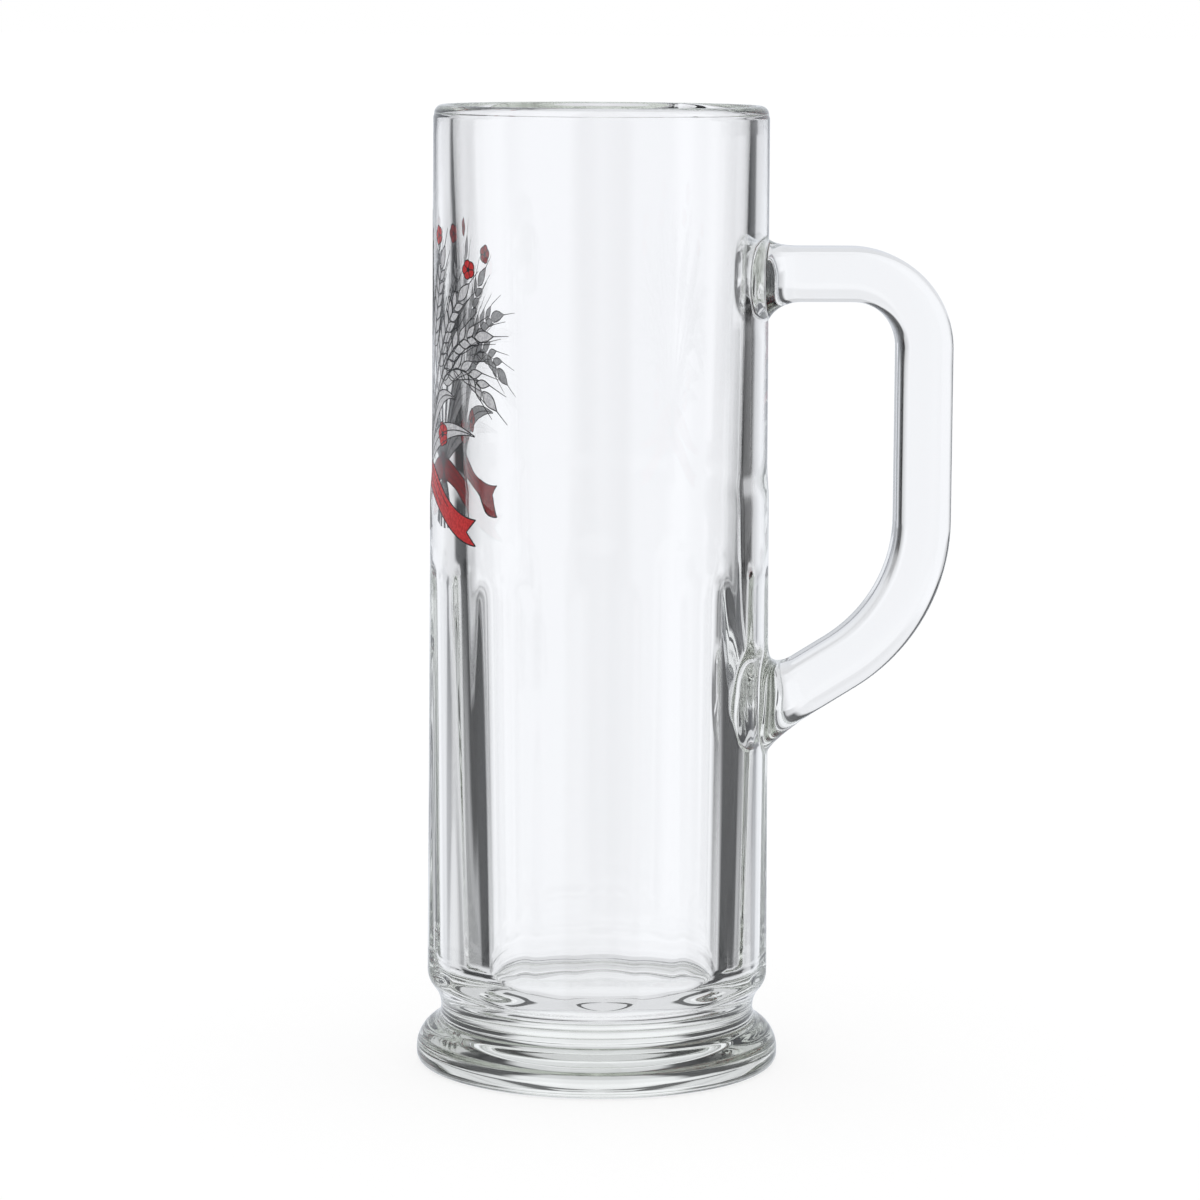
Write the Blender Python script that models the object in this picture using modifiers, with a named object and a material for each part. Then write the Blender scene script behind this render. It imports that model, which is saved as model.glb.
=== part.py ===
"""Tall glass beer mug: a fluted glass body, a hot-applied glass handle and a three-colour enamel print.

Metres, +Z up. The origin is the middle of the foot's flat underside. The handle points along +X and
the print faces -X.
"""

import math

import bmesh
import bpy
from mathutils import Matrix, Vector

# Outside of the glass body
HEIGHT = 0.210
LIP_RADIUS = 0.0361  # fire-polished lip, a hair inside the wall below it
LIP_HEIGHT = 0.0028
RIM_RADIUS = 0.0363
NECK_RADIUS = 0.0365
SHOULDER_RADIUS = 0.0369
SHOULDER_Z = 0.124
SHOULDER_RISE = 0.009  # height of the soft swell from the shoulder up to the neck
SHOULDER_SHARE = 0.5  # how much of the swell its upper arc takes
HEEL_RADIUS = 0.0374
HEEL_RISE = 0.008  # from the waist up to where the heel reaches its full radius
HEEL_SHARE = 0.37  # how much of the heel its upper arc takes
WAIST_RADIUS = 0.0344
WAIST_RISE = 0.0092  # from the foot's widest ring up to the waist
WAIST_SHARE = 0.38  # how much of the way from the waist to the foot the hollow arc takes
FOOT_RADIUS = 0.0398
FOOT_EDGE_Z = 0.0031
FOOT_ROUND = 0.0020

# Inside of the glass body
RIM_WALL = 0.0032
BORE_RADIUS = 0.0302  # at the floor; the bore widens in a straight cone up to the lip
FLOOR_Z = 0.015
FLOOR_CORNER = 0.009

# Flutes pressed into the lower half of the outside
FLUTE_COUNT = 10
FLUTE_DEPTH = 0.0013
FLUTE_DROP = 0.0122  # from the shoulder down to the tops of the flutes
FLUTE_TAIL = 0.0012  # from the heel's full radius down to the ends of the flutes
FLUTE_END_ROUND = 0.008  # radius of the arc that lifts a flute out of the wall at each end
FLUTE_END_SWING = math.radians(60)  # past the wall, which the arc meets sooner
FLUTE_LAND = 0.001  # from the tops of the flutes up to a ring of plain wall
FLUTE_SIDE_GAP = 0.0003  # kept between neighbouring cutters

# Handle
HANDLE_DROP = 0.0362  # from the rim down to the middle of the top run
HANDLE_SPAN = 0.0742  # from the top run down to the corner of the lower run
HANDLE_REACH = 0.0706  # from the mug's axis to the middle of the grip
HANDLE_THICK = 0.0119  # in the plane of the handle
HANDLE_DEPTH = 0.0160
SECTION_POWER = 5.0  # 2 is an ellipse, higher is squarer
TOP_BEND = 0.0161
LOW_BEND = 0.0370
LOW_RUN_ANGLE = math.radians(31.6)
TOP_FLARE_LENGTH = 0.0070
TOP_FLARE_HEIGHT = 0.0029
TOP_SEAT_SHIFT = -0.0013  # height of the seat's middle over the line of its run
LOW_FLARE_LENGTH = 0.0100
LOW_FLARE_HEIGHT = 0.0066
LOW_SEAT_SHIFT = 0.0024
FLARE_EDGE = 0.0006  # thickness of the flares' rims where they meet the wall
SEAT_GAP = 0.0003

# Enamel print
PRINT_RIM_CLEARANCE = 0.0227
PRINT_FLUTE_CLEARANCE = 0.0047
PRINT_WIDTH = 0.0710  # measured round the wall
PRINT_GAP = 0.0001
PRINT_LAYER = 0.0001
STALK_COUNT = 9
STALK_FAN = math.radians(105)  # from upright to the outermost, drooping ears
STALK_WIDTH = 0.0016
STALK_TAIL = 0.013
STALK_ARCH = 0.019  # height of the bend of every stalk above the middle of the print
EAR_LENGTH = 0.022
EAR_WIDTH = 0.0090
EAR_TAPER = 0.5  # share of its width that an ear has lost at its tip
GRAIN_ROWS = 5
GRAIN_PEAK = 0.7  # where a row of grain is widest, as a share of the row
GRAIN_NOTCH = 0.9  # where it is narrowest
GRAIN_NOTCH_WIDTH = 0.6  # its width there, as a share of its widest
AWN_LENGTH = 0.005
LINE_WIDTH = 0.0008
LINE_TAPER = 0.5
TIE_DROP = 0.021  # from the middle of the print down to the tie
RIBBON_REACH = 0.027
RIBBON_WIDTH = 0.0056
RIBBON_FALL = 0.011
RIBBON_NOTCH = 0.003

# How finely round shapes are divided
ROUND_STEPS = 60
ARC_STEPS = 4
BEND_STEPS = 9
FLARE_STEPS = 5
SECTION_SIDE_STEPS = 5  # on each of the section's four sides
STALK_STEPS = 6
RIBBON_STEPS = 18
SMOOTH_BELOW = math.radians(30)
WELD_DISTANCE = 1e-7
TURN_WELD_DISTANCE = 1e-5

# Looks, with linear colours
GLASS_COLOUR = (0.97, 0.98, 0.98)
GREY_COLOUR = (0.47, 0.47, 0.48)
BLACK_COLOUR = (0.02, 0.02, 0.02)
RED_COLOUR = (0.62, 0.03, 0.03)
GLASS_ROUGHNESS = 0.0
ENAMEL_ROUGHNESS = 0.42

FLUTE_TOP_Z = SHOULDER_Z - FLUTE_DROP
WAIST_Z = FOOT_EDGE_Z + WAIST_RISE
HEEL_Z = WAIST_Z + HEEL_RISE
FLUTE_FOOT_Z = HEEL_Z - FLUTE_TAIL


def clear_scene():
    for obj in list(bpy.data.objects):
        bpy.data.objects.remove(obj)


def new_collection(name):
    collection = bpy.data.collections.new(name)
    bpy.context.scene.collection.children.link(collection)
    return collection


def new_material(name, colour, roughness, transmission=0.0):
    material = bpy.data.materials.new(name)
    material.use_nodes = True
    shader = material.node_tree.nodes["Principled BSDF"]
    shader.inputs["Base Color"].default_value = (*colour, 1.0)
    shader.inputs["Roughness"].default_value = roughness
    shader.inputs["Metallic"].default_value = 0.0
    shader.inputs["Transmission Weight"].default_value = transmission
    return material


def new_object(name, data, collection, material=None):
    obj = bpy.data.objects.new(name, data)
    collection.objects.link(obj)
    if material:
        data.materials.append(material)
    return obj


def as_helper(obj):
    obj.hide_render = True
    obj.display_type = "WIRE"
    return obj


def shade(obj):
    obj.data.shade_smooth()
    obj.data.set_sharp_from_angle(angle=SMOOTH_BELOW)


def evaluated_mesh(obj):
    bpy.context.view_layer.update()
    graph = bpy.context.evaluated_depsgraph_get()
    return bpy.data.meshes.new_from_object(obj.evaluated_get(graph))


def frozen(obj):
    """Replaces an object by a mesh object of its evaluated, welded shape."""
    mesh = evaluated_mesh(obj)
    shape = bmesh.new()
    shape.from_mesh(mesh)
    bmesh.ops.remove_doubles(shape, verts=shape.verts, dist=WELD_DISTANCE)
    shape.to_mesh(mesh)
    shape.free()
    made = bpy.data.objects.new(obj.name + "_mesh", mesh)
    made.matrix_world = obj.matrix_world
    for collection in obj.users_collection:
        collection.objects.link(made)
    bpy.data.objects.remove(obj)
    return made


def boolean(obj, other, operation):
    modifier = obj.modifiers.new(operation.title(), "BOOLEAN")
    modifier.operation = operation
    modifier.object = other


def arc(centre, radius, start, end, steps):
    """Points on an arc in the (radius, height) plane, angles in radians."""
    points = []
    for step in range(steps + 1):
        angle = start + (end - start) * step / steps
        points.append((centre[0] + radius * math.cos(angle), centre[1] + radius * math.sin(angle)))
    return points


def swept_step(top, bottom, upper_share):
    """Two tangent arcs that lead from one upright wall down to another of a different radius."""
    shift, drop = bottom[0] - top[0], top[1] - bottom[1]
    way = math.copysign(1.0, shift)
    sweep = 2 * math.atan2(abs(shift), drop)
    whole = drop / math.sin(sweep)
    upper, lower = whole * upper_share, whole * (1 - upper_share)
    points = []
    for step in range(ARC_STEPS + 1):
        angle = sweep * step / ARC_STEPS
        points.append((top[0] + way * upper * (1 - math.cos(angle)), top[1] - upper * math.sin(angle)))
    for step in range(1, ARC_STEPS + 1):
        angle = sweep * (1 - step / ARC_STEPS)
        back = way * lower * (1 - math.cos(angle))
        points.append((bottom[0] - back, bottom[1] + lower * math.sin(angle)))
    return points


def outer_profile(clearance=0.0):
    """The outside from just under the lip's crown down to the foot's flat face."""
    wall = [(LIP_RADIUS, HEIGHT - LIP_HEIGHT + (RIM_RADIUS - LIP_RADIUS))]
    wall += [(RIM_RADIUS, HEIGHT - LIP_HEIGHT - (RIM_RADIUS - LIP_RADIUS))]
    neck = (NECK_RADIUS, SHOULDER_Z + SHOULDER_RISE)
    wall += swept_step(neck, (SHOULDER_RADIUS, SHOULDER_Z), SHOULDER_SHARE)
    land = FLUTE_DROP - FLUTE_LAND
    draft = (HEEL_RADIUS - SHOULDER_RADIUS) / (SHOULDER_Z - HEEL_Z)
    wall += [(SHOULDER_RADIUS + draft * land, SHOULDER_Z - land)]
    wall += swept_step((HEEL_RADIUS, HEEL_Z), (WAIST_RADIUS, WAIST_Z), HEEL_SHARE)
    wall += swept_step((WAIST_RADIUS, WAIST_Z), (FOOT_RADIUS, FOOT_EDGE_Z), WAIST_SHARE)[1:]
    corner = (FOOT_RADIUS - FOOT_ROUND, FOOT_ROUND)
    wall += arc(corner, FOOT_ROUND, 0, -math.pi / 2, ARC_STEPS)
    return [(radius + clearance, height) for radius, height in wall]


def inner_profile():
    """The inside from the middle of the floor up the bore and over the lip's crown."""
    corner = (BORE_RADIUS - FLOOR_CORNER, FLOOR_Z + FLOOR_CORNER)
    bore = [(0.0, FLOOR_Z)]
    bore += arc(corner, FLOOR_CORNER, -math.pi / 2, 0, ARC_STEPS + 2)
    crown = RIM_WALL / 2
    bore += arc((LIP_RADIUS - crown, HEIGHT - crown), crown, math.pi, 0, 2 * ARC_STEPS)
    return bore


def wall_radius(height):
    """Radius of the outside at a height, on the same straight facets as the turned body."""
    profile = outer_profile()
    for (upper_radius, upper), (lower_radius, lower) in zip(profile, profile[1:]):
        if lower <= height <= upper and upper > lower:
            share = (height - lower) / (upper - lower)
            return lower_radius + (upper_radius - lower_radius) * share
    return profile[0][0]


def turned(name, profile, collection, material=None):
    """A profile in the XZ plane, both ends on the axis, turned once round Z."""
    mesh = bpy.data.meshes.new(name)
    points = [(radius, 0.0, height) for radius, height in profile]
    mesh.from_pydata(points, [(i, i + 1) for i in range(len(points) - 1)], [])
    obj = new_object(name, mesh, collection, material)
    screw = obj.modifiers.new("Turn", "SCREW")
    screw.steps = ROUND_STEPS
    screw.render_steps = ROUND_STEPS
    screw.use_merge_vertices = True
    screw.merge_threshold = TURN_WELD_DISTANCE
    return obj


def flute_cutters(name, clearance, collection):
    """Upright slabs, one to a flute. Their inner faces follow the wall and swing out at both ends."""
    top_inset = wall_radius(FLUTE_TOP_Z) - FLUTE_DEPTH + clearance
    foot_inset = HEEL_RADIUS - FLUTE_DEPTH + clearance
    outside = FOOT_RADIUS + FLUTE_END_ROUND
    swing_to_wall = math.acos(1 - FLUTE_DEPTH / FLUTE_END_ROUND)
    rise = FLUTE_END_ROUND * math.sin(swing_to_wall)
    upper = (top_inset + FLUTE_END_ROUND, FLUTE_TOP_Z - rise)
    lower = (foot_inset + FLUTE_END_ROUND, FLUTE_FOOT_Z + rise)
    side = arc(upper, FLUTE_END_ROUND, math.pi - FLUTE_END_SWING, math.pi, ARC_STEPS)
    side += arc(lower, FLUTE_END_ROUND, math.pi, math.pi + FLUTE_END_SWING, ARC_STEPS)
    side += [(outside, side[-1][1]), (outside, side[0][1])]
    pitch = 2 * math.pi / FLUTE_COUNT
    half_width = top_inset * math.tan(pitch / 2) - FLUTE_SIDE_GAP
    shape = bmesh.new()
    for index in range(FLUTE_COUNT):
        turn = Matrix.Rotation(pitch * (index + 0.5), 4, "Z")
        start = [turn @ Vector((radius, -half_width, height)) for radius, height in side]
        face = shape.faces.new([shape.verts.new(point) for point in start])
        pushed = bmesh.ops.extrude_face_region(shape, geom=[face])
        moved = [item for item in pushed["geom"] if isinstance(item, bmesh.types.BMVert)]
        across = turn.to_3x3() @ Vector((0.0, 2 * half_width, 0.0))
        bmesh.ops.translate(shape, vec=across, verts=moved)
    bmesh.ops.recalc_face_normals(shape, faces=shape.faces)
    mesh = bpy.data.meshes.new(name)
    shape.to_mesh(mesh)
    shape.free()
    return as_helper(new_object(name, mesh, collection))


def make_body(parts, cutters):
    """The pressed glass body, turned in one piece with its foot and then fluted."""
    glass = new_material("body glass", GLASS_COLOUR, GLASS_ROUGHNESS, transmission=1.0)
    profile = inner_profile() + outer_profile() + [(0.0, 0.0)]
    body = turned("glass_body", profile, parts, glass)
    boolean(body, flute_cutters("flute_cutters", 0.0, cutters), "DIFFERENCE")
    return body


def seat_cutter(cutters):
    """The outside of the body, fluted and grown by the seat's gap, without its bore."""
    profile = [(0.0, HEIGHT)] + outer_profile(SEAT_GAP) + [(0.0, 0.0)]
    seat = as_helper(turned("handle_seat", profile, cutters))
    boolean(seat, flute_cutters("seat_flutes", SEAT_GAP, cutters), "DIFFERENCE")
    return as_helper(frozen(seat))


def bend(before, corner, after, radius):
    """Points of a round corner between two straight runs in the plane of the handle."""
    back, onward = (before - corner).normalized(), (after - corner).normalized()
    half = back.angle(onward) / 2
    centre = corner + (back + onward).normalized() * (radius / math.sin(half))
    start = corner + back * (radius / math.tan(half)) - centre
    turn = math.copysign(math.pi - 2 * half, start.cross(onward))
    points = []
    for step in range(BEND_STEPS + 1):
        points.append(centre + Matrix.Rotation(turn * step / BEND_STEPS, 2) @ start)
    return points


def wall_reach(across, height):
    """How far out the fluted wall lies at a distance to either side of the handle's plane."""
    radius = wall_radius(height)
    reach = math.sqrt(radius ** 2 - across ** 2)
    if FLUTE_FOOT_Z < height < FLUTE_TOP_Z:
        half_pitch = math.pi / FLUTE_COUNT
        flute = (radius - FLUTE_DEPTH - abs(across) * math.sin(half_pitch)) / math.cos(half_pitch)
        reach = min(reach, flute)
    return reach


def flared_run(wall_end, bend_end, length, height, shift):
    """(place, facing, growth, hug) from inside the wall to a bend. The sections turn to lie on the wall."""
    along = (bend_end - wall_end).normalized()
    reach = (wall_radius(wall_end.y) + SEAT_GAP + FLARE_EDGE - wall_end.x) / along.x
    off_wall, up = Vector((1.0, 0.0)), Vector((0.0, 1.0))
    run = [(wall_end + up * shift, off_wall, height, 1.0)]
    for step in range(FLARE_STEPS + 1):
        angle = math.pi / 2 * step / FLARE_STEPS
        onward, left = 1 - math.cos(angle), 1 - math.sin(angle)
        place = wall_end + along * (reach + length * onward) + up * (shift * left)
        run.append((place, off_wall.slerp(along, onward), height * left, 1 - step / FLARE_STEPS))
    return run


def handle_path():
    """(place, facing, growth, hug) along the handle's centre line, in the (radius, height) plane."""
    top = HEIGHT - HANDLE_DROP
    low = top - HANDLE_SPAN
    start = Vector((BORE_RADIUS, top))
    upper_corner = Vector((HANDLE_REACH, top))
    lower_corner = Vector((HANDLE_REACH, low))
    end = Vector((BORE_RADIUS, low - (HANDLE_REACH - BORE_RADIUS) * math.tan(LOW_RUN_ANGLE)))
    upper = bend(start, upper_corner, lower_corner, TOP_BEND)
    lower = bend(upper_corner, lower_corner, end, LOW_BEND)
    middle = upper + lower
    path = flared_run(start, upper[0], TOP_FLARE_LENGTH, TOP_FLARE_HEIGHT, TOP_SEAT_SHIFT)
    for before, place, after in zip([start] + middle, middle, middle[1:] + [end]):
        path.append((place, (after - before).normalized(), 0.0, 0.0))
    back = flared_run(end, lower[-1], LOW_FLARE_LENGTH, LOW_FLARE_HEIGHT, LOW_SEAT_SHIFT)
    path += [(place, -facing, growth, hug) for place, facing, growth, hug in reversed(back)]
    return path


def section_directions():
    """Points spread evenly round a square and drawn in to the handle's section, on a scale of 1."""
    side = [2 * step / SECTION_SIDE_STEPS - 1 for step in range(SECTION_SIDE_STEPS)]
    square = [(1.0, along) for along in side] + [(-along, 1.0) for along in side]
    square += [(-1.0, -along) for along in side] + [(along, -1.0) for along in side]
    points = []
    for depth, thick in square:
        size = (abs(depth) ** SECTION_POWER + abs(thick) ** SECTION_POWER) ** (-1 / SECTION_POWER)
        points.append((depth * size, thick * size))
    return points


def section_ring(place, facing, growth, hug):
    """Points of the handle's crowned section at one place, drawn back with the wall where it hugs it."""
    across = Vector((-facing.y, facing.x))
    half_thick, half_depth = HANDLE_THICK / 2 + growth, HANDLE_DEPTH / 2 + growth
    ring = []
    for depth, thick in section_directions():
        middle = place + across * (half_thick * thick)
        side = half_depth * depth
        drawn_back = hug * (wall_radius(place.y) - wall_reach(side, middle.y))
        ring.append(Vector((middle.x - drawn_back, side, middle.y)))
    return ring


def make_handle(parts, cutters):
    """A loft along the centre line, because the flared ends widen by a length and not by a factor."""
    glass = new_material("handle glass", GLASS_COLOUR, GLASS_ROUGHNESS, transmission=1.0)
    shape = bmesh.new()
    rings = []
    for station in handle_path():
        rings.append([shape.verts.new(point) for point in section_ring(*station)])
    for ring, following in zip(rings, rings[1:]):
        for index in range(len(ring)):
            shape.faces.new((ring[index - 1], ring[index], following[index], following[index - 1]))
    shape.faces.new(rings[0])
    shape.faces.new(rings[-1])
    bmesh.ops.recalc_face_normals(shape, faces=shape.faces)
    mesh = bpy.data.meshes.new("handle")
    shape.to_mesh(mesh)
    shape.free()
    handle = new_object("handle", mesh, parts, glass)
    boolean(handle, seat_cutter(cutters), "DIFFERENCE")
    return handle


def flat_curve(name, outline):
    """A filled flat outline, as thick as one layer of the print."""
    curve = bpy.data.curves.new(name, "CURVE")
    curve.dimensions = "2D"
    curve.fill_mode = "BOTH"
    curve.extrude = PRINT_LAYER / 2
    spline = curve.splines.new("POLY")
    spline.points.add(len(outline) - 1)
    for point, (x, y) in zip(spline.points, outline):
        point.co = (x, y, 0.0, 1.0)
    spline.use_cyclic_u = True
    return curve


def print_size():
    """Half the print's width round the wall, half its height, and the height of its middle."""
    foot = FLUTE_TOP_Z + PRINT_FLUTE_CLEARANCE
    head = HEIGHT - PRINT_RIM_CLEARANCE
    return PRINT_WIDTH / 2, (head - foot) / 2, (head + foot) / 2


def stalk_ends():
    """For each stalk of the fanned sheaf, the point where its awn ends."""
    half_width, half_height, _ = print_size()
    ends = []
    for index in range(STALK_COUNT):
        angle = STALK_FAN * (2 * index / (STALK_COUNT - 1) - 1)
        ends.append(Vector((half_width * math.sin(angle), half_height * math.cos(angle))))
    return ends


def on_stalk(end, share):
    """A place on the arched line from the tie to a stalk's end, and the direction there."""
    tie, arch = Vector((0.0, -TIE_DROP)), Vector((end.x / 2, STALK_ARCH))
    first, second = tie.lerp(arch, share), arch.lerp(end, share)
    return first.lerp(second, share), (second - first).normalized()


def stalk_length(end):
    places = [on_stalk(end, step / STALK_STEPS)[0] for step in range(STALK_STEPS + 1)]
    return sum((after - before).length for before, after in zip(places, places[1:]))


def both_sides(end, right_side):
    """A closed outline round a stalk's line, from (share of the line, half width) pairs."""
    right, left = [], []
    for share, half in right_side:
        place, along = on_stalk(end, max(share, 0.0))
        place = place + along * (min(share, 0.0) * stalk_length(end))
        across = Vector((along.y, -along.x)) * half
        right.append(place + across)
        if half > 0:
            left.append(place - across)
    return [(point.x, point.y) for point in right + left[::-1]]


def ear_outlines():
    """Stalks that cross at the tie, each ending in an ear with toothed rows of grain."""
    outlines = []
    for end in stalk_ends():
        length = stalk_length(end)
        foot = (length - AWN_LENGTH - EAR_LENGTH) / length
        pitch = EAR_LENGTH / GRAIN_ROWS / length
        side = [(-STALK_TAIL / length, STALK_WIDTH / 2)]
        side += [(foot * step / STALK_STEPS, STALK_WIDTH / 2) for step in range(STALK_STEPS + 1)]
        for row in range(GRAIN_ROWS):
            full = EAR_WIDTH / 2 * (1 - EAR_TAPER * (row / GRAIN_ROWS) ** 2)
            side.append((foot + pitch * (row + GRAIN_PEAK), full))
            side.append((foot + pitch * (row + GRAIN_NOTCH), full * GRAIN_NOTCH_WIDTH))
        side.append((foot + pitch * GRAIN_ROWS, 0.0))
        outlines.append(both_sides(end, side))
    return outlines


def line_outlines():
    """Fine lines that run from the tie up each stalk and out beyond its ear as an awn."""
    outlines = []
    for end in stalk_ends():
        steps = 2 * STALK_STEPS
        shares = [step / steps for step in range(steps + 1)]
        side = [(share, LINE_WIDTH / 2 * (1 - LINE_TAPER * share)) for share in shares]
        outlines.append(both_sides(end, side))
    return outlines


def ribbon_outline():
    """A ribbon across the tie whose tails fall to both sides and end in a notch."""
    places = [RIBBON_REACH * (2 * step / RIBBON_STEPS - 1) for step in range(RIBBON_STEPS + 1)]
    falls = [RIBBON_FALL * (1 - math.cos(math.pi * place / RIBBON_REACH)) / 2 for place in places]
    middle = [-TIE_DROP - fall for fall in falls]
    half = RIBBON_WIDTH / 2
    lower = [(place, height - half) for place, height in zip(places, middle)]
    upper = [(place, height + half) for place, height in zip(places, middle)]
    right_notch = (RIBBON_REACH - RIBBON_NOTCH, middle[-1])
    left_notch = (RIBBON_NOTCH - RIBBON_REACH, middle[0])
    return lower + [right_notch] + upper[::-1] + [left_notch]


def flat_layer(name, outlines, cutters):
    """One plate of print thickness, lying flat, from outlines that overlap each other."""
    plates = []
    for index, outline in enumerate(outlines):
        curve = flat_curve(f"{name}_{index}", outline)
        plates.append(as_helper(frozen(new_object(f"{name}_{index}", curve, cutters))))
    for other in plates[1:]:
        boolean(plates[0], other, "UNION")
    return plates[0]


def wrapped(name, flat, level, parts, enamel):
    """Lays a flat plate on the wall opposite the handle, as one layer of the print."""
    _, half_height, middle = print_size()
    mesh = evaluated_mesh(flat)
    mesh.name = name
    shape = bmesh.new()
    shape.from_mesh(mesh)
    step = SHOULDER_RADIUS * 2 * math.pi / ROUND_STEPS
    count = int(PRINT_WIDTH / 2 / step)
    cuts = [(Vector((step * index, 0, 0)), Vector((1, 0, 0))) for index in range(-count, count + 1)]
    for _, height in outer_profile():
        if abs(height - middle) < half_height:
            cuts.append((Vector((0, height - middle, 0)), Vector((0, 1, 0))))
    for point, normal in cuts:
        geometry = shape.verts[:] + shape.edges[:] + shape.faces[:]
        bmesh.ops.bisect_plane(shape, geom=geometry, dist=WELD_DISTANCE, plane_co=point, plane_no=normal)
    lift = PRINT_GAP + level * (PRINT_GAP + PRINT_LAYER) + PRINT_LAYER / 2
    for vert in shape.verts:
        height = middle + vert.co.y
        wall = wall_radius(height)
        angle = math.pi + vert.co.x / SHOULDER_RADIUS
        radius = wall + lift + vert.co.z
        vert.co = (radius * math.cos(angle), radius * math.sin(angle), height)
    shape.to_mesh(mesh)
    shape.free()
    mesh.materials.clear()
    return new_object(name, mesh, parts, enamel)


def make_print(parts, cutters):
    """A tied sheaf of barley in three fired colours, each on top of the one before it."""
    grey = new_material("grey enamel", GREY_COLOUR, ENAMEL_ROUGHNESS)
    black = new_material("black enamel", BLACK_COLOUR, ENAMEL_ROUGHNESS)
    red = new_material("red enamel", RED_COLOUR, ENAMEL_ROUGHNESS)
    layers = (
        ("print_sheaf", ear_outlines(), grey),
        ("print_lines", line_outlines(), black),
        ("print_ribbon", [ribbon_outline()], red),
    )
    for level, (name, outlines, enamel) in enumerate(layers):
        wrapped(name, flat_layer(name, outlines, cutters), level, parts, enamel)


def main():
    clear_scene()
    parts = new_collection("beer_mug")
    cutters = new_collection("beer_mug_cutters")
    shade(make_body(parts, cutters))
    shade(make_handle(parts, cutters))
    make_print(parts, cutters)


main()
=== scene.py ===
"""Looks of the tall glass beer mug, in metres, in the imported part's frame.

+Z is up, the handle points along +X, the print faces -X and the photograph looks along +Y.
"""

import math

import bmesh
import bpy
import numpy as np
from mathutils import Matrix, Vector


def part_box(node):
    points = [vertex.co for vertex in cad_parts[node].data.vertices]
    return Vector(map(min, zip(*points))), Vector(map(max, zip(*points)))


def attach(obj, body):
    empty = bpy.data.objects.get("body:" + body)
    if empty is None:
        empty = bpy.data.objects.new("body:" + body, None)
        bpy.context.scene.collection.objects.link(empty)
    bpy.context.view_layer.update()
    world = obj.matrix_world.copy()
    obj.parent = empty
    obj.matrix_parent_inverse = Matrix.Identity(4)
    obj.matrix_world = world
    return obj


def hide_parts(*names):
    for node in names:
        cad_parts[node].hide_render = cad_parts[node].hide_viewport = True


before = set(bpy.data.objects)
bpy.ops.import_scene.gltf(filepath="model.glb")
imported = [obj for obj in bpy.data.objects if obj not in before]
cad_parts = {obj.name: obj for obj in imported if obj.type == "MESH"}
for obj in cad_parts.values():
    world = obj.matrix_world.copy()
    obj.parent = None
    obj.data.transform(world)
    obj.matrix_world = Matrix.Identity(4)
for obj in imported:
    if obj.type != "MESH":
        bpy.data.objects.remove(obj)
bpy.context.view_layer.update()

# Outside of the glass, on the CAD's sizes
_, BODY_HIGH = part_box("glass_body")
HEIGHT = BODY_HIGH.z
FOOT_RADIUS = BODY_HIGH.y
LIP_RADIUS = 0.0361
LIP_HEIGHT = 0.0028
LIP_STEP = 0.0010
LIP_STEPS = 4
RIM_WALL = 0.0037
RIM_RADIUS = 0.0363
NECK_RADIUS = 0.0365
SHOULDER_RADIUS = 0.0369
SHOULDER_Z = 0.124
SHOULDER_RISE = 0.009
STEP_SHARE = 0.5  # of the lip's and the shoulder's swell in its upper arc
HEEL_RADIUS = 0.0374
HEEL_Z = 0.0203
HEEL_SHARE = 0.37
WAIST_RADIUS = 0.0344
WAIST_Z = 0.0123
WAIST_SHARE = 0.38
FOOT_EDGE_Z = 0.0031
FOOT_ROUND = 0.0020
FLAT_RADIUS = 0.0300  # of the underside's inner ring of points

# Inside of the glass
BORE_RADIUS = 0.0274
BORE_SHIFT = 0.0009  # the plunger leaned, so the bore's foot lies nearer to the handle
FLOOR_Z = 0.015
FLOOR_CORNER = 0.009

# Flutes
FLUTE_COUNT = 10
FLUTE_PITCH = 2 * math.pi / FLUTE_COUNT
FLUTE_DEPTH = 0.00065
FLUTE_TOP_Z = 0.1118
FLUTE_FOOT_Z = 0.0191
FLUTE_TOP_ROUND = 0.030
FLUTE_FOOT_ROUND = 0.008
RIDGE_SOFTNESS = 0.0003
NEARLY = 0.999  # of an end's round, so that the flute never swings past it

# Handle
HANDLE_TOP_Z = 0.1738
HANDLE_LOW_Z = 0.0996
HANDLE_REACH = 0.0706
HANDLE_THICK = 0.0119
HANDLE_DEPTH = 0.0160
SECTION_POWER = 5.0
SEAT_POWER = 2.2  # the flares end in ovals on the wall
TOP_BEND = 0.0161
LOW_BEND = 0.0370
LOW_RUN_ANGLE = math.radians(31.6)
# Length, growth, shift of the seat's middle, and the lift in radians at which the seat leaves the wall
TOP_FLARE = (0.0070, 0.0029, -0.0013, 0.3)
LOW_FLARE = (0.0100, 0.0066, 0.0024, 0.0)

# Print: a tied sheaf of barley, laid out on (distance round the wall, height above its middle)
PRINT_HALF_WIDTH = 0.0355
PRINT_HALF_HEIGHT = 0.0354
PRINT_MIDDLE_Z = 0.1519
PRINT_STEP = 0.0011  # the largest facet, small enough to follow the wall
LENS_SKEW = 0.85  # below 1, pointed ovals are widest before their middle
LENS_TIP = 0.03  # share of its width that an oval keeps at its ends
DISC_HOLE = 0.02  # share of a disc left open at its middle
STALK_COUNT = 9
STALK_FAN = math.radians(105)
STALK_ARCH = 0.019
STALK_TAIL = 0.013
STALK_WIDTH = 0.0014
TIE_Z = -0.021
EAR_LENGTH = 0.022
EAR_TAPER = 0.35
EAR_FILL = 0.82  # share of an ear that its rows of grain take
TOP_GRAIN = 0.8  # where the last grain starts, as a share of the ear, and how much of an awn it has
AWN_LENGTH = 0.005
AWN_TAPER = 0.5
GRAIN_ROWS = 6
GRAIN_SIZE = (0.0056, 0.0025)  # length and width
GRAIN_LEAN = math.radians(33)
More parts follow.
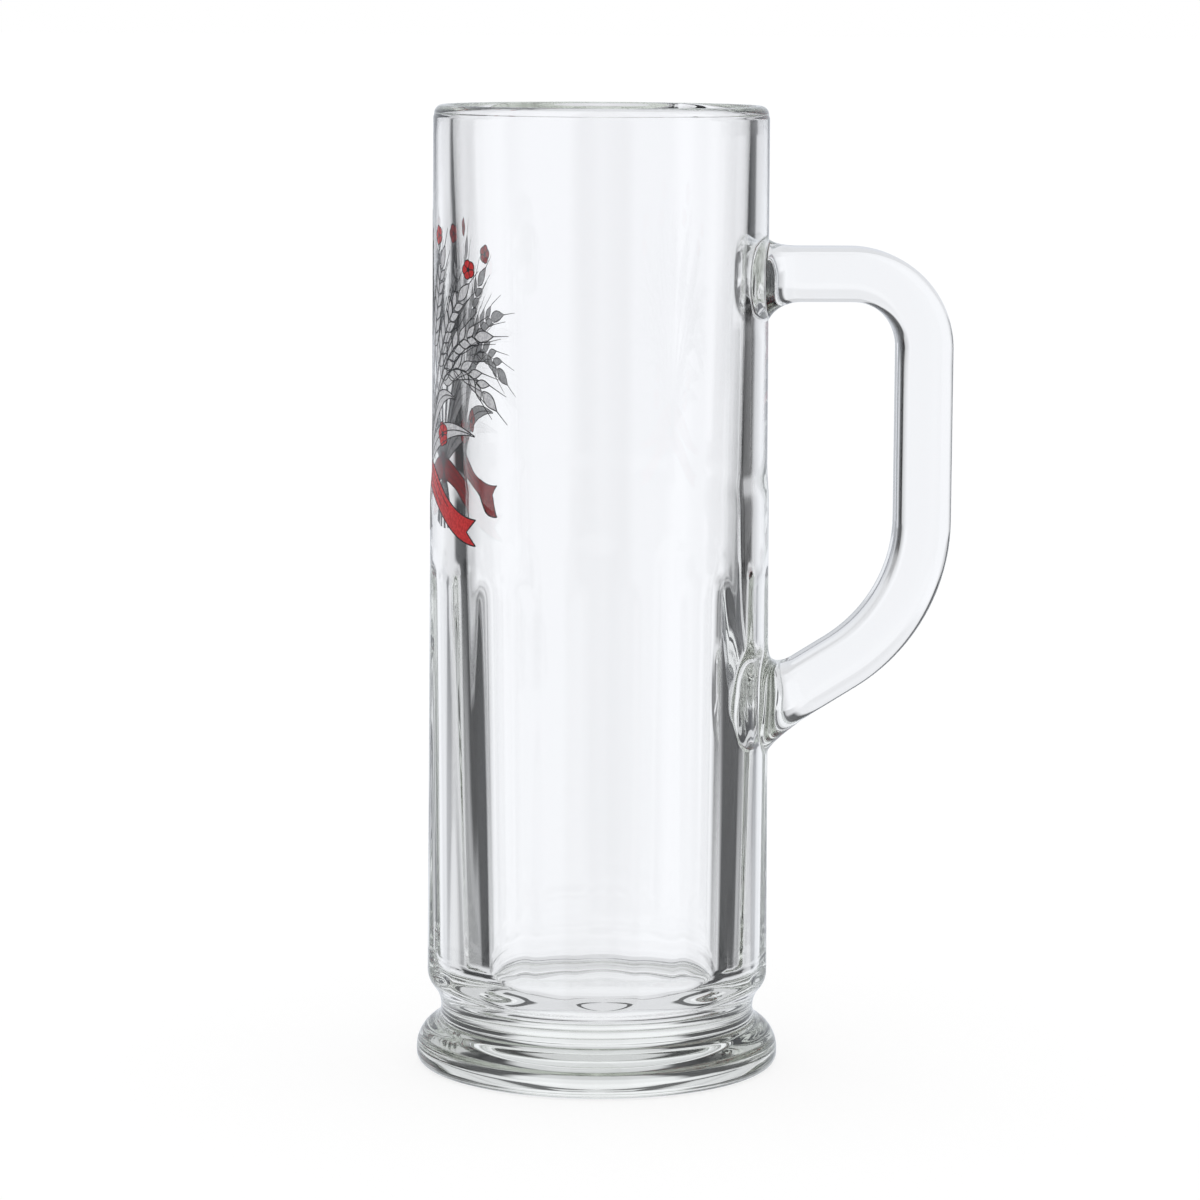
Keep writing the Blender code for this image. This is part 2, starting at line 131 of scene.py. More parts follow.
AWN_LEAN = math.radians(11)
LINE_WIDTH = 0.00030
FINE_LINE_WIDTH = 0.00022
RIBBON_REACH = 0.027
RIBBON_WIDTH = 0.0056
RIBBON_FALL = 0.011
RIBBON_NOTCH = 0.003
RIBBON_FOLDS = ((0.45, 0.62), (-0.35, 0.48))  # place across the ribbon, and where on its tail it ends
FOLD_START = 0.12
KNOT_SIZE = (0.0030, 0.0038)
LEAF_WIDTH = 0.0040
LEAF_ENDS = ((0.0262, -0.0115), (0.0190, -0.0040))
LEAF_BEND = 0.45  # where a leaf arches, as a share of its reach
LEAF_ARCH = 0.004
# Place and radius of each poppy on the right
POPPIES = ((0.0128, -0.0120, 0.0027), (0.0098, 0.0305, 0.0021), (0.0238, 0.0238, 0.0021))
PETALS = 5
PETAL_NOTCH = 0.16
HEART_SHARE = 0.24
PETAL_LINE = (HEART_SHARE, 0.4, 0.6, 0.84)  # shares of the radius along the line between two petals
# Thickness above the glass's surface, and the same below it
ENAMEL_PROUD = {"grey": 0.000012, "red": 0.000022, "black": 0.000032}

# How finely the glass is divided
LAND_STEPS = 5
FLUTE_STEPS = 9
COLUMN_CROWDING = 1.7  # above 1, columns crowd together beside the flutes' edges
FLUTE_TOP_ROWS = 25
FLUTE_TOP_ABOVE = 0.001
FLUTE_TOP_BELOW = 0.011
FLUTE_FOOT_ROWS = 21
FLUTE_FOOT_START_Z = 0.034
BORE_ROWS = 40
FLOOR_RINGS = (0.25, 0.5, 0.75)
REACH_ROUNDS = 8
HOLE_FLUTE_STEPS = 5  # columns of the next half flute that a seat's hole takes in
SEAT_ROWS = 24
SEAT_ROW_GAP = 0.0003  # no other row lies as near to a seat's rows
SEAT_MARGIN = 0.0035
SEAT_RINGS = 5
FLARE_STEPS = 14
BEND_STEPS = 24
RUN_STEPS = 5
GRIP_STEPS = 12
ARC_STEPS = 10

# How finely the print is divided
STALK_SAMPLES = 200
STALK_STEPS = 36
TAIL_STEPS = 12
GRAIN_STEPS = 8
AWN_STEPS = 9
LEAF_STEPS = 24
PETAL_STEPS = 8
RIBBON_STEPS = 61
FOLD_STEPS = 16
KNOT_STEPS = 33

# Glass
WHITE = (1.0, 1.0, 1.0, 1.0)
GLASS_IOR = 1.52
GLASS_TINT = (0.64, 0.72, 0.55, 1.0)
GLASS_DENSITY = 2.5
GLASS_BOUNCES = 24

# Enamel: the pale and the deep colour of its specks
SPECK_SCALE = 1800.0
SPECK_DETAIL = 3.0
SPECK_EDGES = (0.42, 0.58)
SHEEN_EDGES = (0.3, 0.7)
SHEEN_ROUGHNESS = (0.3, 0.5)
ENAMEL_COLOURS = {
    "grey": ((0.88, 0.88, 0.90, 1.0), (0.66, 0.66, 0.69, 1.0)),
    "black": ((0.020, 0.020, 0.022, 1.0), (0.008, 0.008, 0.009, 1.0)),
    "red": ((0.80, 0.035, 0.035, 1.0), (0.62, 0.018, 0.020, 1.0)),
}
PRINT_NODES = {"grey": "print_sheaf", "black": "print_lines", "red": "print_ribbon"}

# Places of a Mix node's colour sockets, whose names it shares with other sockets
COLOUR_A = 6
COLOUR_B = 7
COLOUR_RESULT = 2

# Studio: (degrees to the right of the photograph's line of sight, level) all round the mug.
# Most rings share their stops behind the camera.
BEHIND_LEFT = ((-180, 0.6), (-150, 0.3), (-122, 0.3), (-112, 1.0))
BEHIND_RIGHT = (
    (92, 1.0), (98, 0.3), (106, 0.3), (114, 1.0),
    (156, 1.0), (164, 0.3), (172, 0.3), (180, 0.6))
UPPER_BACKDROP = BEHIND_LEFT + (
    (-58, 1.0), (-52, 0.03), (-35, 0.03), (-31, 0.6), (-22, 0.75), (-15, 1.0),
    (12, 1.0), (18, 0.75), (28, 0.6), (32, 0.03), (49, 0.03), (54, 1.0)) + BEHIND_RIGHT
MIDDLE_BACKDROP = BEHIND_LEFT + (
    (-68, 1.0), (-62, 0.03), (-45, 0.03), (-42, 0.65), (-31, 0.75), (-24, 1.0),
    (12, 1.0), (22, 0.85), (34, 0.6), (37, 0.03), (52, 0.03), (56, 0.6), (70, 0.6),
    (75, 1.0)) + BEHIND_RIGHT
LOWER_BACKDROP = BEHIND_LEFT + (
    (-77, 1.0), (-71, 0.03), (-43, 0.03), (-39, 0.75), (-28, 0.85), (-20, 1.0),
    (17, 1.0), (23, 0.8), (31, 0.55), (35, 0.06), (68, 0.06), (74, 0.8)) + BEHIND_RIGHT
FAR_TABLE = BEHIND_LEFT + (
    (-80, 1.0), (-74, 0.04), (-57, 0.04), (-53, 0.35), (-40, 0.4), (-35, 0.8), (-20, 1.0),
    (17, 1.0), (28, 0.8), (34, 0.45), (45, 0.4), (49, 0.05), (65, 0.05), (71, 0.7)) + BEHIND_RIGHT
NEAR_TABLE = (
    (-180, 0.6), (-100, 0.75), (-30, 0.8), (-12, 0.97),
    (12, 0.97), (30, 0.8), (42, 0.75), (47, 0.04), (70, 0.04), (75, 0.7),
    (114, 0.9), (156, 0.9), (180, 0.6))
SKY = (
    (-180, 0.9), (-90, 1.0), (-76, 0.6), (-66, 0.06), (-24, 0.06), (-19, 0.9),
    (19, 0.9), (24, 0.06), (64, 0.06), (74, 0.6), (90, 0.9), (180, 0.9))
# Right halves of rings that are the same on both sides
UNDER_TABLE = ((41, 0.78), (46, 0.12), (73, 0.12), (78, 0.78), (180, 0.78))
CEILING = ((16, 0.7), (22, 0.04), (66, 0.04), (80, 0.6), (180, 0.6))
SOFT_BOXES = ((45, 0.85), (60, 0.45), (95, 0.45), (115, 0.9), (156, 0.9), (162, 0.15), (180, 0.15))
# Slopes at which one ring gives way to the next, from the highest down
CEILING_EDGE = math.radians(23)
SKY_EDGE = math.radians(2)
MIDDLE_EDGE = math.radians(-4.2)
LOWER_EDGE = math.radians(-7.1)
FAR_EDGE = math.radians(-13.3)
NEAR_EDGE = math.radians(-19)
UNDER_EDGE = math.radians(-33)
# Half the height over which they do, in the sine of the slope
EDGE_BLUR = 0.03
MIDDLE_BLUR = 0.014
LOWER_BLUR = 0.004
# Colour of the light that comes through the glass, and of the light that it reflects
THROUGH_TINT = (0.975, 0.985, 1.02, 1.0)
REFLECTED_TINT = (0.86, 0.90, 0.97, 1.0)
AMBIENT = 0.95
BACKDROP_LEVEL = 1.0  # as the camera sees it past the mug

# Floor, which the glass doesn't show: the rings below the horizon stand in for it there
FLOOR_ALBEDO = 0.25
FLOOR_LEVEL = 1.02
FLOOR_REACH = 40.0
FLOOR_SIDES = 96
FLOOR_GAP = 0.0001

# Camera, fitted to the photograph
PHOTO_PIXELS = 1200
FOCAL_PIXELS = 4454
SENSOR = 36.0
VIEW_AZIMUTH = math.radians(2.6)
CAMERA_DISTANCE = 0.966
CAMERA_HEIGHT = 0.2302
CAMERA_TILT = math.radians(7.54)
CAMERA_ROLL = math.radians(0.32)
AIM_RIGHT = 1 / FOCAL_PIXELS


def smooth_min(first, second, width):
    share = np.clip(0.5 + 0.5 * (second - first) / width, 0.0, 1.0)
    return second + (first - second) * share - width * share * (1 - share)


def arc(centre, radius, start, end, steps):
    """Points on an arc in the (radius, height) plane, angles in radians."""
    angles = np.linspace(start, end, steps + 1)
    return [(centre[0] + radius * math.cos(a), centre[1] + radius * math.sin(a)) for a in angles]


def swept_step(top, bottom, upper_share, steps=ARC_STEPS):
    """Two tangent arcs that lead from one upright wall down to another of a different radius."""
    shift, drop = bottom[0] - top[0], top[1] - bottom[1]
    way = math.copysign(1.0, shift)
    sweep = 2 * math.atan2(abs(shift), drop)
    whole = drop / math.sin(sweep)
    upper, lower = whole * upper_share, whole * (1 - upper_share)
    points = []
    for step in range(steps + 1):
        angle = sweep * step / steps
        points.append((top[0] + way * upper * (1 - math.cos(angle)), top[1] - upper * math.sin(angle)))
    for step in range(1, steps + 1):
        angle = sweep * (1 - step / steps)
        back = way * lower * (1 - math.cos(angle))
        points.append((bottom[0] - back, bottom[1] + lower * math.sin(angle)))
    return points


def wall_profile():
    """The upright wall from the lip's side down to the heel."""
    rim_z = HEIGHT - LIP_HEIGHT
    wall = swept_step((LIP_RADIUS, rim_z + LIP_STEP), (RIM_RADIUS, rim_z), STEP_SHARE, LIP_STEPS)
    neck = (NECK_RADIUS, SHOULDER_Z + SHOULDER_RISE)
    wall += swept_step(neck, (SHOULDER_RADIUS, SHOULDER_Z), STEP_SHARE)
    return wall + [(HEEL_RADIUS, HEEL_Z)]


WALL = np.array(wall_profile())[::-1]


def round_radius(height):
    """Radius of the wall without its flutes."""
    return np.interp(height, WALL[:, 1], WALL[:, 0])


def flute_end(beyond, end_round):
    """How far a flute has swung out of the wall, at a height beyond its end or short of it."""
    rise = end_round * math.sin(math.acos(1 - FLUTE_DEPTH / end_round))
    over = np.clip(beyond + rise, 0.0, NEARLY * end_round)
    return end_round - np.sqrt(end_round ** 2 - over ** 2)


def flute_inset(radius, height):
    """Distance from the axis to the plane of a flute, which swings out of the wall at both ends."""
    at_top = flute_end(height - FLUTE_TOP_Z, FLUTE_TOP_ROUND)
    at_foot = flute_end(FLUTE_FOOT_Z - height, FLUTE_FOOT_ROUND)
    return radius - FLUTE_DEPTH + (at_top + at_foot)


def fluted(radius, angle, height):
    """Radius of the fluted outside, with softened ridges. A ridge lies at angle 0."""
    off_centre = np.mod(angle, FLUTE_PITCH) - FLUTE_PITCH / 2
    flute = flute_inset(radius, height) / np.cos(off_centre)
    return smooth_min(np.asarray(radius, float), flute, RIDGE_SOFTNESS)


def wall_reach(across, height):
    """How far out the wall lies, at a distance to either side of the handle's plane."""
    radius = fluted(round_radius(height), 0.0, height)
    for _ in range(REACH_ROUNDS):
        angle = np.arcsin(across / radius)
        radius = fluted(round_radius(height), angle, height)
    return radius * np.cos(angle)


def column_angles():
    """Angles round the mug, closer together where the flutes meet the lands between them."""
    half = FLUTE_PITCH / 2
    land = half - math.acos(1 - FLUTE_DEPTH / HEEL_RADIUS)
    side = [land * (1 - (1 - step / LAND_STEPS) ** COLUMN_CROWDING) for step in range(LAND_STEPS)]
    for step in range(FLUTE_STEPS):
        side.append(land + (half - land) * (step / FLUTE_STEPS) ** COLUMN_CROWDING)
    pitch = side + [half] + [FLUTE_PITCH - offset for offset in side[:0:-1]]
    return np.array([index * FLUTE_PITCH + offset for index in range(FLUTE_COUNT) for offset in pitch])


class Shell:
    """Collects rings of points and the quads between them."""

    def __init__(self):
        self.points = []
        self.faces = []

    def ring(self, points):
        start = len(self.points)
        self.points.extend(points)
        return list(range(start, len(self.points)))

    def bridge(self, first, second, skipped=()):
        count = len(first)
        for index in range(count):
            if index not in skipped:
                after = (index + 1) % count
                self.faces.append((first[index], second[index], second[after], first[after]))

    def fan(self, point, ring, facing_down):
        centre = self.ring([point])[0]
        for index, here in enumerate(ring):
            after = ring[(index + 1) % len(ring)]
            self.faces.append((centre, after, here) if facing_down else (centre, here, after))

    def to_object(self, name):
        used = sorted({index for face in self.faces for index in face})
        place = {old: new for new, old in enumerate(used)}
        mesh = bpy.data.meshes.new(name)
        faces = [[place[index] for index in face] for face in self.faces]
        mesh.from_pydata([self.points[index] for index in used], [], faces)
        mesh.validate()
        mesh.shade_smooth()
        piece = bpy.data.objects.new(name, mesh)
        bpy.context.scene.collection.objects.link(piece)
        return piece


def seat_span(middle, half):
    """Heights of a seat's rows, from its top to its bottom."""
    return list(np.linspace(middle + half, middle - half, SEAT_ROWS + 1))


def low_seat_z():
    wall = wall_reach(0.0, HANDLE_LOW_Z - (HANDLE_REACH - HEEL_RADIUS) * math.tan(LOW_RUN_ANGLE))
    return HANDLE_LOW_Z - (HANDLE_REACH - float(wall)) * math.tan(LOW_RUN_ANGLE)


def seats():
    """(rows of the hole, middle of the run at the wall, flare) for the top seat and the low one."""
    found = []
    for run_z, flare in ((HANDLE_TOP_Z, TOP_FLARE), (low_seat_z(), LOW_FLARE)):
        half = HANDLE_THICK / 2 + flare[1] + SEAT_MARGIN
        found.append((seat_span(run_z + flare[2], half), run_z, flare))
    return found


def row_heights(seat_rows):
    """Heights of the rows of the wall, from the lip's side down to the heel."""
    top_seat, low_seat = seat_rows
    heights = [point[1] for point in wall_profile()]
    heights += top_seat + low_seat
    above, below = FLUTE_TOP_Z + FLUTE_TOP_ABOVE, FLUTE_TOP_Z - FLUTE_TOP_BELOW
    heights += list(np.linspace(above, below, FLUTE_TOP_ROWS))
    heights += list(np.linspace(FLUTE_FOOT_START_Z, HEEL_Z, FLUTE_FOOT_ROWS))
    for seat in (top_seat, low_seat):
        low, high = seat[-1] - SEAT_ROW_GAP, seat[0] + SEAT_ROW_GAP
        inside = [height for height in heights if low < height < high]
        heights = [height for height in heights if height not in inside] + seat
    return sorted(set(heights), reverse=True)


def square_side(count):
    return [2 * step / count - 1 for step in range(count)]


def section_directions(columns, rows):
    """Points spread evenly round a square, as many as a seat's hole has round its edge."""
    across, up = square_side(columns), square_side(rows)
    loop = [(u, -1.0) for u in across] + [(1.0, v) for v in up]
    loop += [(-u, 1.0) for u in across] + [(-1.0, -v) for v in up]
    return np.array(loop)


def flare_stations(run_z, along, flare):
    """(place, facing, growth, hug) from the wall out to the plain bar."""
    length, growth, shift, lift = flare
    wall = Vector((float(wall_reach(0.0, run_z)), run_z))
    off_wall, up = Vector((1.0, 0.0)), Vector((0.0, 1.0))
    stations = []
    for step in range(FLARE_STEPS + 1):
        angle = lift + (math.pi / 2 - lift) * step / FLARE_STEPS
        onward = 1 - math.cos(angle) / math.cos(lift)
        left = (1 - math.sin(angle)) / (1 - math.sin(lift))
        place = wall + along * (length * onward) + up * (shift * left)
        stations.append((place, off_wall.slerp(along, onward), growth * left, 1 - step / FLARE_STEPS))
    return stations


def bend_stations(before, corner, after, radius):
    back, onward = (before - corner).normalized(), (after - corner).normalized()
    half = back.angle(onward) / 2
    centre = corner + (back + onward).normalized() * (radius / math.sin(half))
    start = corner + back * (radius / math.tan(half)) - centre
    turn = math.copysign(math.pi - 2 * half, start.cross(onward))
    stations = []
    for step in range(BEND_STEPS + 1):
        swing = Matrix.Rotation(turn * step / BEND_STEPS, 2)
        stations.append((centre + swing @ start, swing @ -back, 0.0, 0.0))
    return stations


def straight_stations(first, last, count):
    (start, facing, _, _), (end, _, _, _) = first, last
    return [(start.lerp(end, step / count), facing, 0.0, 0.0) for step in range(1, count)]


def handle_stations():
    top_corner = Vector((HANDLE_REACH, HANDLE_TOP_Z))
    low_corner = Vector((HANDLE_REACH, HANDLE_LOW_Z))
    (_, top_z, top_flare), (_, low_z, low_flare) = seats()
    start = Vector((RIM_RADIUS, top_z))
    up_run = Vector((math.cos(LOW_RUN_ANGLE), math.sin(LOW_RUN_ANGLE)))
    top = flare_stations(top_z, Vector((1.0, 0.0)), top_flare)
    upper = bend_stations(start, top_corner, low_corner, TOP_BEND)
    lower = bend_stations(top_corner, low_corner, low_corner - up_run, LOW_BEND)
    low = [(place, -facing, growth, hug) for place, facing, growth, hug
           in reversed(flare_stations(low_z, up_run, low_flare))]
    path = top + straight_stations(top[-1], upper[0], RUN_STEPS) + upper
    path += straight_stations(upper[-1], lower[0], GRIP_STEPS) + lower
    return path + straight_stations(lower[-1], low[0], RUN_STEPS) + low


def section_ring(directions, place, facing, growth, hug):
    across = Vector((-facing.y, facing.x))
    power = SECTION_POWER + (SEAT_POWER - SECTION_POWER) * hug
    rounded = directions * ((np.abs(directions) ** power).sum(1) ** (-1 / power))[:, None]
    side = (HANDLE_DEPTH / 2 + growth) * rounded[:, 0]
    thick = (HANDLE_THICK / 2 + growth) * rounded[:, 1]
    reach, height = place.x + across.x * thick, place.y + across.y * thick
    if hug > 0:
        reach = reach - hug * (wall_reach(0.0, place.y) - wall_reach(side, height))
    return np.stack([reach, side, height], 1)


def seat_rings(edge, flange):
    """Rings that lie on the wall, from the edge of a seat's hole in to the foot of its flare."""
    rings = []
    for step in range(1, SEAT_RINGS):
        share = step / SEAT_RINGS
        flat = edge[:, 1:] * (1 - share) + flange[:, 1:] * share
        reach = wall_reach(flat[:, 0], flat[:, 1])
        rings.append(np.column_stack([reach, flat]))
    return rings


def bore_shift(height):
    return BORE_SHIFT * (HEIGHT - height) / HEIGHT


def glass_rows(heights):
    """(radius, height, whether it is fluted, shift) from the cup's floor round to the underside."""
    crown = RIM_WALL / 2
    corner = (BORE_RADIUS - FLOOR_CORNER, FLOOR_Z + FLOOR_CORNER)
    lip_inside = LIP_RADIUS - RIM_WALL
    inside = [(share * corner[0], FLOOR_Z) for share in FLOOR_RINGS]
    inside += arc(corner, FLOOR_CORNER, -math.pi / 2, 0, 2 * ARC_STEPS)
    for share in np.linspace(0, 1, BORE_ROWS)[1:-1]:
        radius = BORE_RADIUS + (lip_inside - BORE_RADIUS) * share
        inside.append((radius, corner[1] + (HEIGHT - crown - corner[1]) * share))
    inside += arc((LIP_RADIUS - crown, HEIGHT - crown), crown, math.pi, 0, 2 * ARC_STEPS)
    rows = [(radius, height, False, bore_shift(height)) for radius, height in inside]
    rows += [(float(round_radius(height)), height, True, 0.0) for height in heights]
    heel = swept_step((HEEL_RADIUS, HEEL_Z), (WAIST_RADIUS, WAIST_Z), HEEL_SHARE)[1:]
    rows += [(radius, height, True, 0.0) for radius, height in heel]
    foot = swept_step((WAIST_RADIUS, WAIST_Z), (FOOT_RADIUS, FOOT_EDGE_Z), WAIST_SHARE)[1:]
    foot += arc((FOOT_RADIUS - FOOT_ROUND, FOOT_ROUND), FOOT_ROUND, 0, -math.pi / 2, ARC_STEPS)
    foot.append((FLAT_RADIUS, 0.0))
    return rows + [(radius, height, False, 0.0) for radius, height in foot]


def make_glass():
    """The whole of the glass as one closed surface, because the handle is fused to the wall."""
    shell = Shell()
    angles = column_angles()
    half_hole = LAND_STEPS + FLUTE_STEPS + HOLE_FLUTE_STEPS
    (top_rows, _, _), (low_rows, _, _) = seats()
    rows = glass_rows(row_heights((top_rows, low_rows)))
    rings, heights = [], []
    for radius, height, is_fluted, shift in rows:
        around = fluted(radius, angles, height) if is_fluted else np.full(len(angles), radius)
        x, y = around * np.cos(angles) + shift, around * np.sin(angles)
        rings.append(shell.ring(np.column_stack([x, y, np.full(len(angles), height)])))
        heights.append(height if is_fluted else None)
    holes = []
    for seat in (top_rows, low_rows):
        first = heights.index(seat[0])
        holes.append((first, first + SEAT_ROWS))
    skipped = {index % len(angles) for index in range(-half_hole, half_hole)}
    for index, (ring, following) in enumerate(zip(rings, rings[1:])):
        in_hole = any(first <= index < last for first, last in holes)
        shell.bridge(ring, following, skipped if in_hole else ())
    shell.fan((bore_shift(FLOOR_Z), 0.0, FLOOR_Z), rings[0], False)
    shell.fan((0.0, 0.0, 0.0), rings[-1], True)
    columns = [index % len(angles) for index in range(-half_hole, half_hole + 1)]
    add_handle(shell, rings, columns, holes)
    return shell.to_object("mug_glass")


def hole_loop(rings, columns, first, last):
    """Points round a seat's hole: along its row `first`, across, back along `last` and across."""
    step = 1 if last > first else -1
    loop = [rings[first][column] for column in columns[:-1]]
    loop += [rings[row][columns[-1]] for row in range(first, last, step)]
    loop += [rings[last][column] for column in columns[:0:-1]]
    return loop + [rings[row][columns[0]] for row in range(last, first, -step)]


def add_handle(shell, rings, columns, holes):
    (top_first, top_last), (low_first, low_last) = holes
    top_edge = hole_loop(rings, columns, top_last, top_first)
    low_edge = hole_loop(rings, columns, low_first, low_last)
    directions = section_directions(len(columns) - 1, SEAT_ROWS)
    bar = [section_ring(directions, *station) for station in handle_stations()]
    points = np.array(shell.points)
    chain = seat_rings(points[top_edge], bar[0]) + bar + seat_rings(points[low_edge], bar[-1])[::-1]
    before = top_edge
    for ring in chain:
        here = shell.ring(ring)
        shell.bridge(here, before)
        before = here
    shell.bridge(low_edge, before)


class Enamel:
    """One colour of the print, as thin plates that are fused into the surface of the wall."""

    def __init__(self, proud):
        self.proud = proud
        self.points = []
        self.faces = []

    def on_wall(self, flat, lift):
        height = PRINT_MIDDLE_Z + flat[:, 1]
        angle = math.pi + flat[:, 0] / SHOULDER_RADIUS
        radius = round_radius(height) + lift
        return np.column_stack([radius * np.cos(angle), radius * np.sin(angle), height])

    def patch(self, grid):
        """A plate from rows of flat points, closed round its edge."""
        rows, lanes, _ = grid.shape
        flat = grid.reshape(-1, 2)
        start, count = len(self.points), len(flat)
        self.points.extend(self.on_wall(flat, self.proud))
        self.points.extend(self.on_wall(flat, -self.proud))
        place = start + np.arange(count).reshape(rows, lanes)
        for row in range(rows - 1):
            for lane in range(lanes - 1):
                quad = [place[row, lane], place[row, lane + 1],
                        place[row + 1, lane + 1], place[row + 1, lane]]
                self.faces.append(quad)
                self.faces.append([index + count for index in quad[::-1]])
        edge = list(place[0]) + list(place[1:, -1]) + list(place[-1, -2::-1]) + list(place[-2:0:-1, 0])
        for here, after in zip(edge, edge[1:] + edge[:1]):
            self.faces.append([after, here, here + count, after + count])

    def strip(self, line, half_widths):
        """A band along a line, with its half width at each point or one for all."""
        line = np.asarray(line, float)
        halves = np.broadcast_to(np.asarray(half_widths, float), len(line))
        across = to_the_right(line) * halves[:, None]
        shares = np.linspace(-1, 1, lane_count(2 * halves.max()))
        self.patch(line[:, None] + across[:, None] * shares[None, :, None])

    def disc(self, outline, middle):
        """A plate inside a closed outline that goes round a middle point."""
        span = np.linalg.norm(outline - middle, axis=1).max()
        shares = np.linspace(DISC_HOLE, 1, lane_count(span))
        self.patch(middle + (outline[:, None] - middle) * shares[None, :, None])

    def to_object(self, name):
        mesh = bpy.data.meshes.new(name)
        points = [tuple(point) for point in self.points]
        faces = [list(map(int, face)) for face in self.faces]
        mesh.from_pydata(points, [], faces)
        mesh.validate()
        piece = bpy.data.objects.new(name, mesh)
        bpy.context.scene.collection.objects.link(piece)
        return piece


def lane_count(width):
    return max(2, math.ceil(width / PRINT_STEP) + 1)


def to_the_right(line):
    """Directions across a line at each of its points."""
    along = np.gradient(line, axis=0)
    along /= np.linalg.norm(along, axis=1)[:, None]
    return np.column_stack([along[:, 1], -along[:, 0]])


def bezier(start, arch, end, shares):
    """Points on an arched line and the directions there."""
    start, arch, end = (np.asarray(point, float) for point in (start, arch, end))
    shares = np.asarray(shares, float)[:, None]
    first, second = start + (arch - start) * shares, arch + (end - arch) * shares
    along = second - first
    return first + (second - first) * shares, along / np.linalg.norm(along, axis=1)[:, None]


def turned(direction, angle):
    cosine, sine = math.cos(angle), math.sin(angle)
    across, up = direction
    return np.array([cosine * across - sine * up, sine * across + cosine * up])


def lens(length, width, steps=GRAIN_STEPS):
    """Distances along a pointed oval and its half widths."""
    shares = np.linspace(0, 1, steps + 1)
    return length * shares, width / 2 * np.maximum(np.sin(math.pi * shares ** LENS_SKEW), LENS_TIP)


def draw_leaf(fill, lines, line, halves, middle_line):
    """A pointed oval along a line, outlined, with a fine line down its middle if asked for."""
    fill.strip(line, halves)
    across = to_the_right(line) * halves[:, None]
    for side in (-1, 1):
        lines.strip(line + across * side, FINE_LINE_WIDTH / 2)
    if middle_line:
        lines.strip(line[1:-1], FINE_LINE_WIDTH / 2)


def draw_grain(inks, base, direction, size, along, awn):
    """One grain, which leans out of its ear, and the awn at its tip."""
    reach, halves = lens(*size)
    line = base + direction * reach[:, None]
    draw_leaf(inks["grey"], inks["black"], line, halves, False)
    shares = np.linspace(0, 1, AWN_STEPS)
    awn_line = line[-1] + awn * shares[:, None] * along
    inks["black"].strip(awn_line, FINE_LINE_WIDTH / 2 * (1 - AWN_TAPER * shares))


def draw_ear(inks, end):
    """A stalk from below the tie to its ear of paired grains."""
    tie, arch = (0.0, TIE_Z), (end[0] / 2, STALK_ARCH)
    samples = np.linspace(0, 1, STALK_SAMPLES)
    fine, _ = bezier(tie, arch, end, samples)
    lengths = np.append(0, np.cumsum(np.linalg.norm(np.diff(fine, axis=0), axis=1)))

    def at(distance):
        share = np.interp(distance, lengths, samples)
        place, along = bezier(tie, arch, end, [share])
        return place[0], along[0]

    foot = lengths[-1] - AWN_LENGTH - EAR_LENGTH
    start, along = at(0.0)
    tail = [start - along * STALK_TAIL * (1 - step / TAIL_STEPS) for step in range(TAIL_STEPS)]
    stalk = tail + [at(distance)[0] for distance in np.linspace(0, foot + EAR_LENGTH / 2, STALK_STEPS)]
    inks["grey"].strip(stalk, STALK_WIDTH / 2)
    inks["black"].strip(stalk, LINE_WIDTH / 2)
    for row in range(GRAIN_ROWS):
        share = row / GRAIN_ROWS
        size = [value * (1 - EAR_TAPER * share) for value in GRAIN_SIZE]
        base, along = at(foot + EAR_LENGTH * EAR_FILL * share)
        for side in (-1, 1):
            lean = turned(along, side * GRAIN_LEAN)
            draw_grain(inks, base, lean, size, turned(along, side * AWN_LEAN), AWN_LENGTH)
    base, along = at(foot + EAR_LENGTH * TOP_GRAIN)
    draw_grain(inks, base, along, GRAIN_SIZE, along, AWN_LENGTH * TOP_GRAIN)


def draw_poppy(inks, middle, radius):
    """A round flower with scalloped petals and a dark heart."""
    middle = np.asarray(middle)
    around = np.linspace(0, 2 * math.pi, PETAL_STEPS * PETALS + 1)
    reach = radius * (1 - PETAL_NOTCH + PETAL_NOTCH * np.abs(np.sin(around * PETALS / 2)))
    facing = np.column_stack([np.cos(around), np.sin(around)])
    outline = middle + facing * reach[:, None]
    inks["red"].disc(outline, middle)
    inks["black"].strip(outline, FINE_LINE_WIDTH / 2)
    inks["black"].disc(middle + facing * radius * HEART_SHARE, middle)
    for ray in facing[:-1:PETAL_STEPS]:
        line = [middle + ray * radius * share for share in PETAL_LINE]
        inks["black"].strip(line, FINE_LINE_WIDTH / 2)


def ribbon_fall(places):
    """How far the ribbon has fallen at places from -1 at one end, over 0 at the knot, to 1."""
    return RIBBON_FALL * (1 - np.cos(math.pi * places)) / 2


